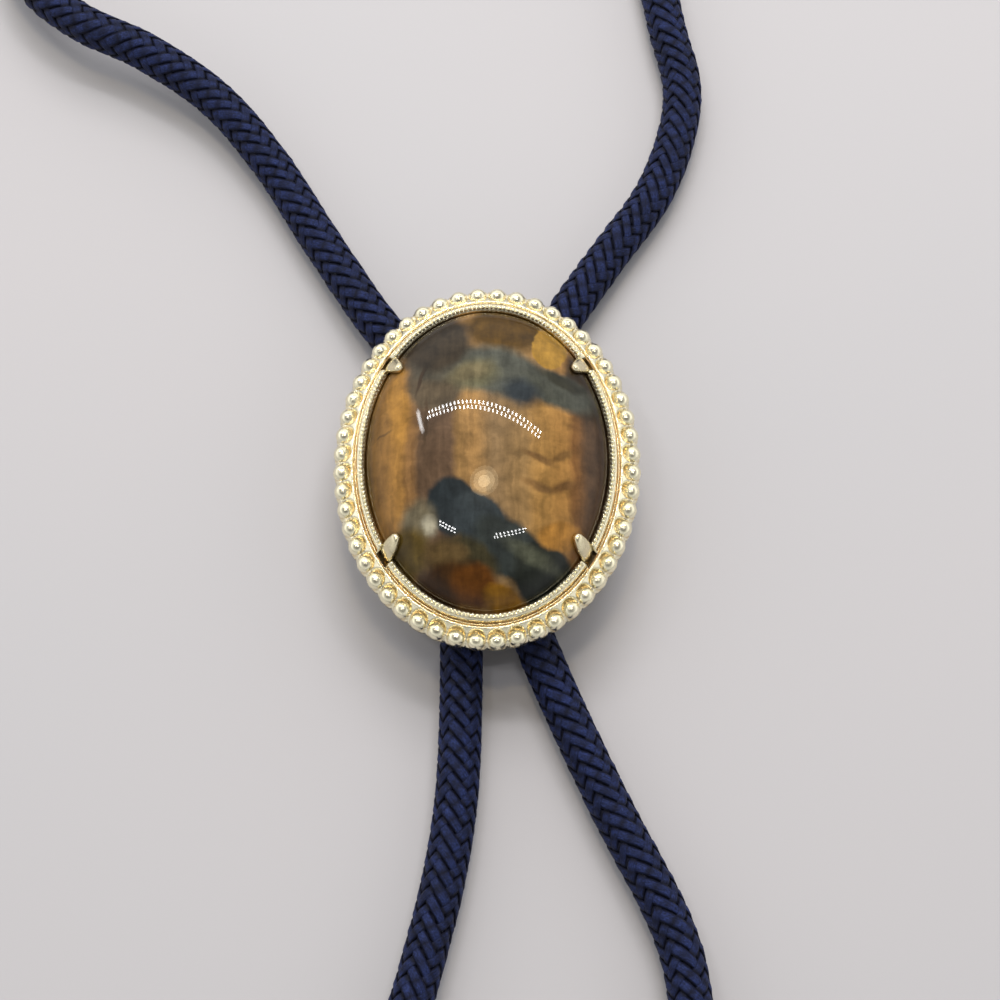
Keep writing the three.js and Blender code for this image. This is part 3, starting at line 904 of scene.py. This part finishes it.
def make_beaded_frame(material):
    bead_turn, bead_run = oval_runs(BEAD_OUT)
    pitch = bead_run[-1] / BEAD_COUNT
    run = np.arange(FRAME_RINGS) / FRAME_RINGS * bead_run[-1]
    turn = np.interp(run, bead_run, bead_turn)
    beside = (run / pitch) % 1 * pitch - pitch / 2
    prong_runs = [np.interp(math.radians(degrees), bead_turn, bead_run) for degrees in PRONG_ANGLES]

    out, up, hollow = [], [], []
    for section_out, section_up, section_hollow in RIM_AND_GROOVE:
        out.append(np.full(FRAME_RINGS, section_out * MM))
        up.append(np.full(FRAME_RINGS, section_up * MM))
        hollow.append(np.full(FRAME_RINGS, section_hollow))
    edge = EDGE_OUT + EDGE_SCALLOP * np.sqrt(np.clip(1 - (beside / (pitch / 2)) ** 2, 0, 1))
    for k in range(1, LAND_STEPS + 1):
        share = k / LAND_STEPS
        here = CREST_OUT + (edge - CREST_OUT) * share
        land = CREST_HEIGHT + (LAND_FOOT_HEIGHT - CREST_HEIGHT) * min(1.0, share / LAND_FOOT_SHARE)
        past_foot = max(0.0, (share - LAND_FOOT_SHARE) / (1 - LAND_FOOT_SHARE))
        land = land + (EDGE_HEIGHT - LAND_FOOT_HEIGHT) * past_foot**1.5
        from_bead = np.hypot(here - BEAD_OUT, beside)
        rise = np.clip((from_bead - COLLAR_FOOT_RADIUS) / (COLLAR_RADIUS - COLLAR_FOOT_RADIUS), 0, 1)
        rise = rise * rise * (3 - 2 * rise)
        floor = min(land, COLLAR_DEPTH_HEIGHT)
        out.append(here)
        up.append(floor + (land - floor) * rise)
        # Painted shade, deepest in the bowl at the bead's foot
        hollow.append((1 - rise) * BOWL_SHADE)
    # The outer wall down to the back, with painted shade on it
    out.append(edge)
    up.append(np.zeros(FRAME_RINGS))
    hollow.append(np.full(FRAME_RINGS, EDGE_WALL_SHADE))
    out, up, hollow = (np.stack(values, 1) for values in (out, up, hollow))

    for prong_run in prong_runs:
        in_slot = np.abs(run - prong_run) < PRONG_SLOT_HALF_WIDTH
        inner = in_slot[:, None] & (out < PRONG_SLOT_OUT)
        up = np.where(inner, np.minimum(up, PRONG_SLOT_HEIGHT), up)
        out = np.where(inner, PRONG_SLOT_OUT, out)

    level = oval_place(turn[:, None], out)
    points = np.concatenate([level, (FRAME_BACK + up)[..., None]], -1).reshape(-1, 3)
    columns = out.shape[1]
    faces = grid_faces(FRAME_RINGS, columns, wrap_rows=True)
    hollows = [hollow.reshape(-1)]
    all_points = [points]
    count = len(points)

    bead_radii = (BEAD_RADIUS * 0.97, BEAD_RADIUS * 1.04, BEAD_RADIUS)
    grain_radii = (GRAIN_RADIUS * 1.1, GRAIN_RADIUS * 0.82, GRAIN_RADIUS)
    balls = []
    for ball_turn in even_turns(BEAD_OUT, BEAD_COUNT):
        balls.append((ball_turn, BEAD_OUT, BEAD_HEIGHT, bead_radii, BEAD_SIDES, BEAD_RINGS))
    for ball_turn in even_turns(GRAIN_OUT, GRAIN_COUNT):
        walked = np.interp(ball_turn, bead_turn, bead_run)
        if min(abs(walked - prong_run) for prong_run in prong_runs) > PRONG_SLOT_HALF_WIDTH + GRAIN_CLEARANCE:
            balls.append((ball_turn, GRAIN_OUT, GRAIN_HEIGHT, grain_radii, GRAIN_SIDES, GRAIN_RINGS))
    for ball_turn, ball_out, height, radii, sides, rings in balls:
        way = oval_outward(ball_turn)
        centre = (*oval_place(ball_turn, ball_out), FRAME_BACK + height)
        ball, ball_faces = round_ball(centre, radii, math.atan2(way[1], way[0]), sides, rings)
        all_points.append(ball)
        # Painted shade, darker towards the bottom of each ball
        hollows.append(np.clip((centre[2] - ball[:, 2]) / radii[2], 0, 1) * BEAD_UNDERSIDE_SHADE)
        faces += [[k + count for k in face] for face in ball_faces]
        count += len(ball)

    piece = mesh_piece("beaded_frame_metal", np.vstack(all_points), faces, material)
    set_attribute(piece, "hollow", np.concatenate(hollows))
    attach(piece, "root")
    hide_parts("beaded_frame")


def dome_place(x, y):
    """The place on the stone's dome above a level place, and the dome's outward direction there."""
    share = (x / STONE_HALF_WIDTH) ** 2 + (y / STONE_HALF_LENGTH) ** 2
    height = DOME_HEIGHT * np.sqrt(np.clip(1 - share, 0, 1))
    normal = np.array([x / STONE_HALF_WIDTH**2, y / STONE_HALF_LENGTH**2, height / DOME_HEIGHT**2])
    normal = normal / np.linalg.norm(normal)
    return np.array([x, y, GIRDLE_TOP + height]), normal


# The prong from its shoulder inwards: share of its reach, share of its half width and share of its thickness
PRONG_OUTLINE = [
    (0.02, 1.0, 1.0),
    (0.1, 1.0, 1.0),
    (0.2, 0.99, 1.0),
    (0.3, 0.97, 1.0),
    (0.4, 0.93, 1.0),
    (0.5, 0.87, 1.0),
    (0.6, 0.8, 1.02),
    (0.7, 0.72, 1.06),
    (0.78, 0.65, 1.08),
    (0.85, 0.57, 1.04),
    (0.91, 0.48, 0.94),
    (0.96, 0.36, 0.76),
    (0.99, 0.22, 0.5),
    (1.0, 0.08, 0.25),
]
PRONG_SIDES = 20


def prong_section(place_at, half_width, rise):
    """A flattened loop over the stone: its inner side follows the stone, its outer side is gently rounded.
    place_at gives the stone's surface and outward direction at a distance to the side."""
    ring = []
    for k in range(PRONG_SIDES):
        turn = 2 * math.pi * (k + 0.5) / PRONG_SIDES
        sideways = math.copysign(abs(math.cos(turn)) ** 0.7, math.cos(turn)) * half_width
        height = max(0.0, math.sin(turn)) ** 0.55 * rise
        point, normal = place_at(sideways)
        ring.append(point + normal * (PRONG_GAP + height))
    return ring


def make_setting(material):
    """The oval plate under the stone with the four claws that rise from it and fold over the stone."""
    points, faces = [], []
    plate_bottom = cup_low.z
    plate_top = plate_bottom + PLATE_THICKNESS
    margin_x = cup_high.x - STONE_HALF_WIDTH
    turns = np.arange(PLATE_ROUND) / PLATE_ROUND * 2 * math.pi
    plate = [
        (-PLATE_INSET, plate_bottom),
        (margin_x - PLATE_CHAMFER, plate_bottom),
        (margin_x, plate_bottom + PLATE_CHAMFER),
        (margin_x, plate_top - PLATE_CHAMFER),
        (margin_x - PLATE_CHAMFER, plate_top),
        (-PLATE_INSET, plate_top),
    ]
    for out, height in plate:
        points += level_ring(turns, out, height)
    faces += grid_faces(len(plate), PLATE_ROUND)
    last = (len(plate) - 1) * PLATE_ROUND
    faces += end_faces(PLATE_ROUND, 0, last)
    for degrees in PRONG_ANGLES:
        turn = math.radians(degrees)
        inward = -oval_place(turn, 0) / np.linalg.norm(oval_place(turn, 0))
        along_edge = math.hypot(STONE_HALF_WIDTH * math.sin(turn), STONE_HALF_LENGTH * math.cos(turn))

        def on_foot(sideways, height):
            here = turn + sideways / along_edge
            return np.array([*oval_place(here, 0), height]), np.array([*oval_outward(here), 0])

        def on_dome(sideways, reach):
            return dome_place(*(oval_place(turn + sideways / along_edge, 0) + inward * reach))

        rings = []
        for height, wide in ((plate_top - 0.3 * MM, 1.1), (plate_top + 0.9 * MM, 1.04), (GIRDLE_TOP, 1.0)):
            foot = partial(on_foot, height=height)
            rings.append(prong_section(foot, PRONG_HALF_WIDTH * wide, PRONG_THICKNESS))
        for reach, wide, thick in PRONG_OUTLINE:
            over = partial(on_dome, reach=reach * PRONG_REACH)
            rings.append(prong_section(over, PRONG_HALF_WIDTH * wide, PRONG_THICKNESS * thick))
        first = len(points)
        for ring in rings:
            points += [p.tolist() for p in ring]
        faces += [[first + k for k in f] for f in grid_faces(len(rings), PRONG_SIDES)]
        last = first + (len(rings) - 1) * PRONG_SIDES
        faces += end_faces(PRONG_SIDES, first, last)
    piece = mesh_piece("setting_cup_metal", points, faces, material)
    piece.data.set_sharp_from_angle(angle=math.radians(50))
    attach(piece, "root")
    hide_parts("setting_cup")


def make_stone(material):
    turns = np.arange(STONE_ROUND) / STONE_ROUND * 2 * math.pi
    points = []
    for inset, height in STONE_SIDE:
        points += level_ring(turns, -inset, STONE_BOTTOM + height)
    for ring in range(STONE_RINGS):
        lean = math.pi / 2 * ring / STONE_RINGS
        level = oval_place(turns, 0) * math.cos(lean)
        height = np.full((STONE_ROUND, 1), GIRDLE_TOP + DOME_HEIGHT * math.sin(lean))
        points += np.concatenate([level, height], 1).tolist()
    rings = len(points) // STONE_ROUND
    faces = grid_faces(rings, STONE_ROUND)
    last = (rings - 1) * STONE_ROUND
    top = len(points)
    points.append((0, 0, STONE_TOP))
    faces += [(last + k, last + (k + 1) % STONE_ROUND, top) for k in range(STONE_ROUND)]
    faces.append(list(reversed(range(STONE_ROUND))))
    piece = mesh_piece("cabochon_stone", points, faces, material)
    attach(piece, "root")
    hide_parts("cabochon")


def rounded_outline(low, high, radius, steps=8):
    """A rectangle with round corners, counter-clockwise."""
    outline = []
    for k, (x, y) in enumerate(((high[0], high[1]), (low[0], high[1]), (low[0], low[1]), (high[0], low[1]))):
        centre_x = x - radius if k in (0, 3) else x + radius
        centre_y = y - radius if k in (0, 1) else y + radius
        for s in range(steps + 1):
            turn = math.pi / 2 * (k + s / steps)
            outline.append((centre_x + radius * math.cos(turn), centre_y + radius * math.sin(turn)))
    return outline


def make_clip(material):
    """The bent sleeve behind the slide, with a channel for each strand."""
    width = clip_high.x - clip_low.x
    height = clip_high.z - clip_low.z
    length = clip_high.y - clip_low.y
    curve = bpy.data.curves.new("back_clip_outline", "CURVE")
    curve.dimensions = "2D"
    curve.fill_mode = "BOTH"
    curve.bevel_depth = CLIP_EDGE
    curve.bevel_resolution = 2
    curve.offset = -CLIP_EDGE
    curve.extrude = length / 2 - CLIP_EDGE
    half_channel = (CORD_DIAMETER + CHANNEL_CLEARANCE) / 2
    outlines = [rounded_outline((-width / 2, 0), (width / 2, height), CLIP_CORNER)]
    for middle in (-CHANNEL_MIDDLE, CHANNEL_MIDDLE):
        low = (middle - half_channel, CLIP_WALL)
        high = (middle + half_channel, height - CLIP_WALL)
        outlines.append(rounded_outline(low, high, CHANNEL_CORNER)[::-1])
    for outline in outlines:
        spline = curve.splines.new("POLY")
        spline.points.add(len(outline) - 1)
        for point, (x, y) in zip(spline.points, outline):
            point.co = (x, y, 0, 1)
        spline.use_cyclic_u = True
    holder = bpy.data.objects.new("back_clip_outline", curve)
    bpy.context.scene.collection.objects.link(holder)
    bpy.context.view_layer.update()
    mesh = bpy.data.meshes.new_from_object(holder.evaluated_get(bpy.context.evaluated_depsgraph_get()))
    bpy.data.objects.remove(holder)
    centre = (clip_low + clip_high) / 2
    for vertex in mesh.vertices:
        x, z, y = vertex.co
        vertex.co = (centre.x + x, centre.y - y, z)
    mesh.update()
    mesh.name = "back_clip_metal"
    mesh.materials.clear()
    mesh.materials.append(material)
    mesh.polygons.foreach_set("use_smooth", [True] * len(mesh.polygons))
    mesh.set_sharp_from_angle(angle=math.radians(35))
    piece = bpy.data.objects.new("back_clip_metal", mesh)
    bpy.context.scene.collection.objects.link(piece)
    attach(piece, "root")
    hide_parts("back_clip")


# Places and sizes of the lights are in millimetres
KEY_PLACE = (50, 400, 440)
KEY_SIZE = (340, 260)
KEY_RADIANCE = 6.0
KEY_TINT = (1, 0.97, 0.96)
SPOT_PLACE = (-15, 124, 602)
SPOT_SIZE = (124, 88)
SPOT_TINT = (1, 0.78, 0.46)
# The warm spot's ovals: share of its distance, share of its size, and radiance. They lie one in front of the
# other, because a mirrored ray meets only one of several lamps at the same distance.
SPOT_OVALS = [(0.98, 0.4, 15.0), (0.99, 0.72, 10.0), (1.0, 1.0, 7.0)]
LAMP_AIM = (0, 0, 13)
# How the two lamps of a pair lie apart: to the right, and forwards and up as a share of the row's gap
PAIR_RIGHT = 3.0
PAIR_FORWARDS = 0.85
PAIR_UP = -0.5
ARC_LINE = [
    (-255, 310, 468),
    (-199, 319, 489),
    (-125, 329, 506),
    (-51, 329, 519),
    (37, 316, 528),
    (119, 294, 528),
    (222, 253, 516),
]
# Rows of small lamps that the stone mirrors as dotted lines: name, line, lamps along it, gap between its two
# rows, width of a lamp, and radiance
LAMP_ROWS = [
    ("arc", ARC_LINE, 30, 17, 8, 82),
    ("left_dots", [(-238, -18, 568), (-163, -45, 593)], 6, 18, 7, 98),
    ("right_dots", [(39, -62, 612), (192, -44, 584)], 9, 16, 7, 80),
    ("streak", [(-306, 323, 427), (-285, 270, 475)], 8, 0, 20, 7),
]


def add_lamp(name, place, width, height, radiance, tint=(1, 1, 1), shape="RECTANGLE"):
    lamp = bpy.data.lights.new(name, "AREA")
    lamp.shape = shape
    lamp.size = width * MM
    lamp.size_y = height * MM
    area = width * height * MM**2 * (math.pi / 4 if shape == "ELLIPSE" else 1)
    lamp.energy = math.pi * area * radiance
    lamp.color = tint
    holder = bpy.data.objects.new(name, lamp)
    bpy.context.scene.collection.objects.link(holder)
    holder.location = Vector(place) * MM
    toward = (Vector(LAMP_AIM) - Vector(place)) * MM
    holder.rotation_euler = toward.to_track_quat("-Z", "Y").to_euler()
    return holder


def make_lights():
    key = add_lamp("ceiling_light", KEY_PLACE, *KEY_SIZE, KEY_RADIANCE, KEY_TINT)
    key.visible_glossy = False
    for nearness, size, radiance in SPOT_OVALS:
        place = np.array(SPOT_PLACE) * nearness
        width, height = np.array(SPOT_SIZE) * size
        add_lamp("warm_spot", place, width, height, radiance, SPOT_TINT, shape="ELLIPSE")
    for name, row, count, gap, width, radiance in LAMP_ROWS:
        corners = np.array(row, float)
        run = np.concatenate([[0], np.cumsum(np.linalg.norm(np.diff(corners, axis=0), axis=1))])
        apart = np.array([PAIR_RIGHT, PAIR_FORWARDS * gap, PAIR_UP * gap])
        for number in range(count):
            for side in (-0.5, 0.5):
                share = (number + 0.5 * side) / (count - 1)
                place = CordLine.each(run, corners, share * run[-1]) + apart * side
                add_lamp(f"{name}_{number}", place, width * 0.8, width * 1.5, radiance)
    world = bpy.data.worlds.new("room")
    bpy.context.scene.world = world
    world.use_nodes = True
    tree = world.node_tree
    way = add_node(tree, "ShaderNodeTexCoord").outputs["Generated"]
    apart = add_node(tree, "ShaderNodeSeparateXYZ", {"Vector": way})
    walls = spread(tree, apart.outputs["Z"], -0.05, 0.3, 0.62, 1.3)
    front = spread(tree, apart.outputs["Y"], -0.9, 0.2, 0.55, 1.0)
    overhead = spread(tree, apart.outputs["Z"], 0.4, 0.86, 1.0, 0.2)
    background = tree.nodes["Background"]
    background.inputs["Color"].default_value = (0.98, 0.985, 1.0, 1)
    strength = maths(tree, "MULTIPLY", front, maths(tree, "MULTIPLY", walls, overhead))
    tree.links.new(strength, background.inputs["Strength"])


TABLE_CORNERS = [(-2.5, -2.5, 0), (2.5, -2.5, 0), (2.5, 2.5, 0), (-2.5, 2.5, 0)]


def make_table(material):
    mesh_piece("table", TABLE_CORNERS, [(0, 1, 2, 3)], material, smooth=False)


def main():
    scene = bpy.context.scene
    scene.view_settings.view_transform = "Standard"
    make_camera()

    line = CordLine(np.array(CORD_POINTS) * MM, LINE_STEP)
    braid = make_braid(line, make_navy_braid(), make_braid_core())
    plate_wear_and_shade = make_plate_wear_and_shade()
    tip_metal = make_metal("tip_gold", plate_wear_and_shade, PALE_GOLD, 0.16, 0.9, 0.01)
    tips = [
        make_tip("tip_left_metal", "tip_left", line, True, tip_metal),
        make_tip("tip_right_metal", "tip_right", line, False, tip_metal),
    ]

    make_beaded_frame(make_metal("frame_gold", plate_wear_and_shade, PALE_GOLD, 0.22, 1.8, 0.03))
    make_setting(make_metal("prong_gold", plate_wear_and_shade, GREYER_GOLD, 0.24, 1.1, 0.015))
    make_stone(make_tiger_eye())
    make_clip(make_metal("clip_metal", plate_wear_and_shade, SATIN_GOLD, 0.3, 0.8, 0.01))
    make_table(make_table_top())
    make_lights()

    bpy.context.view_layer.update()


main()
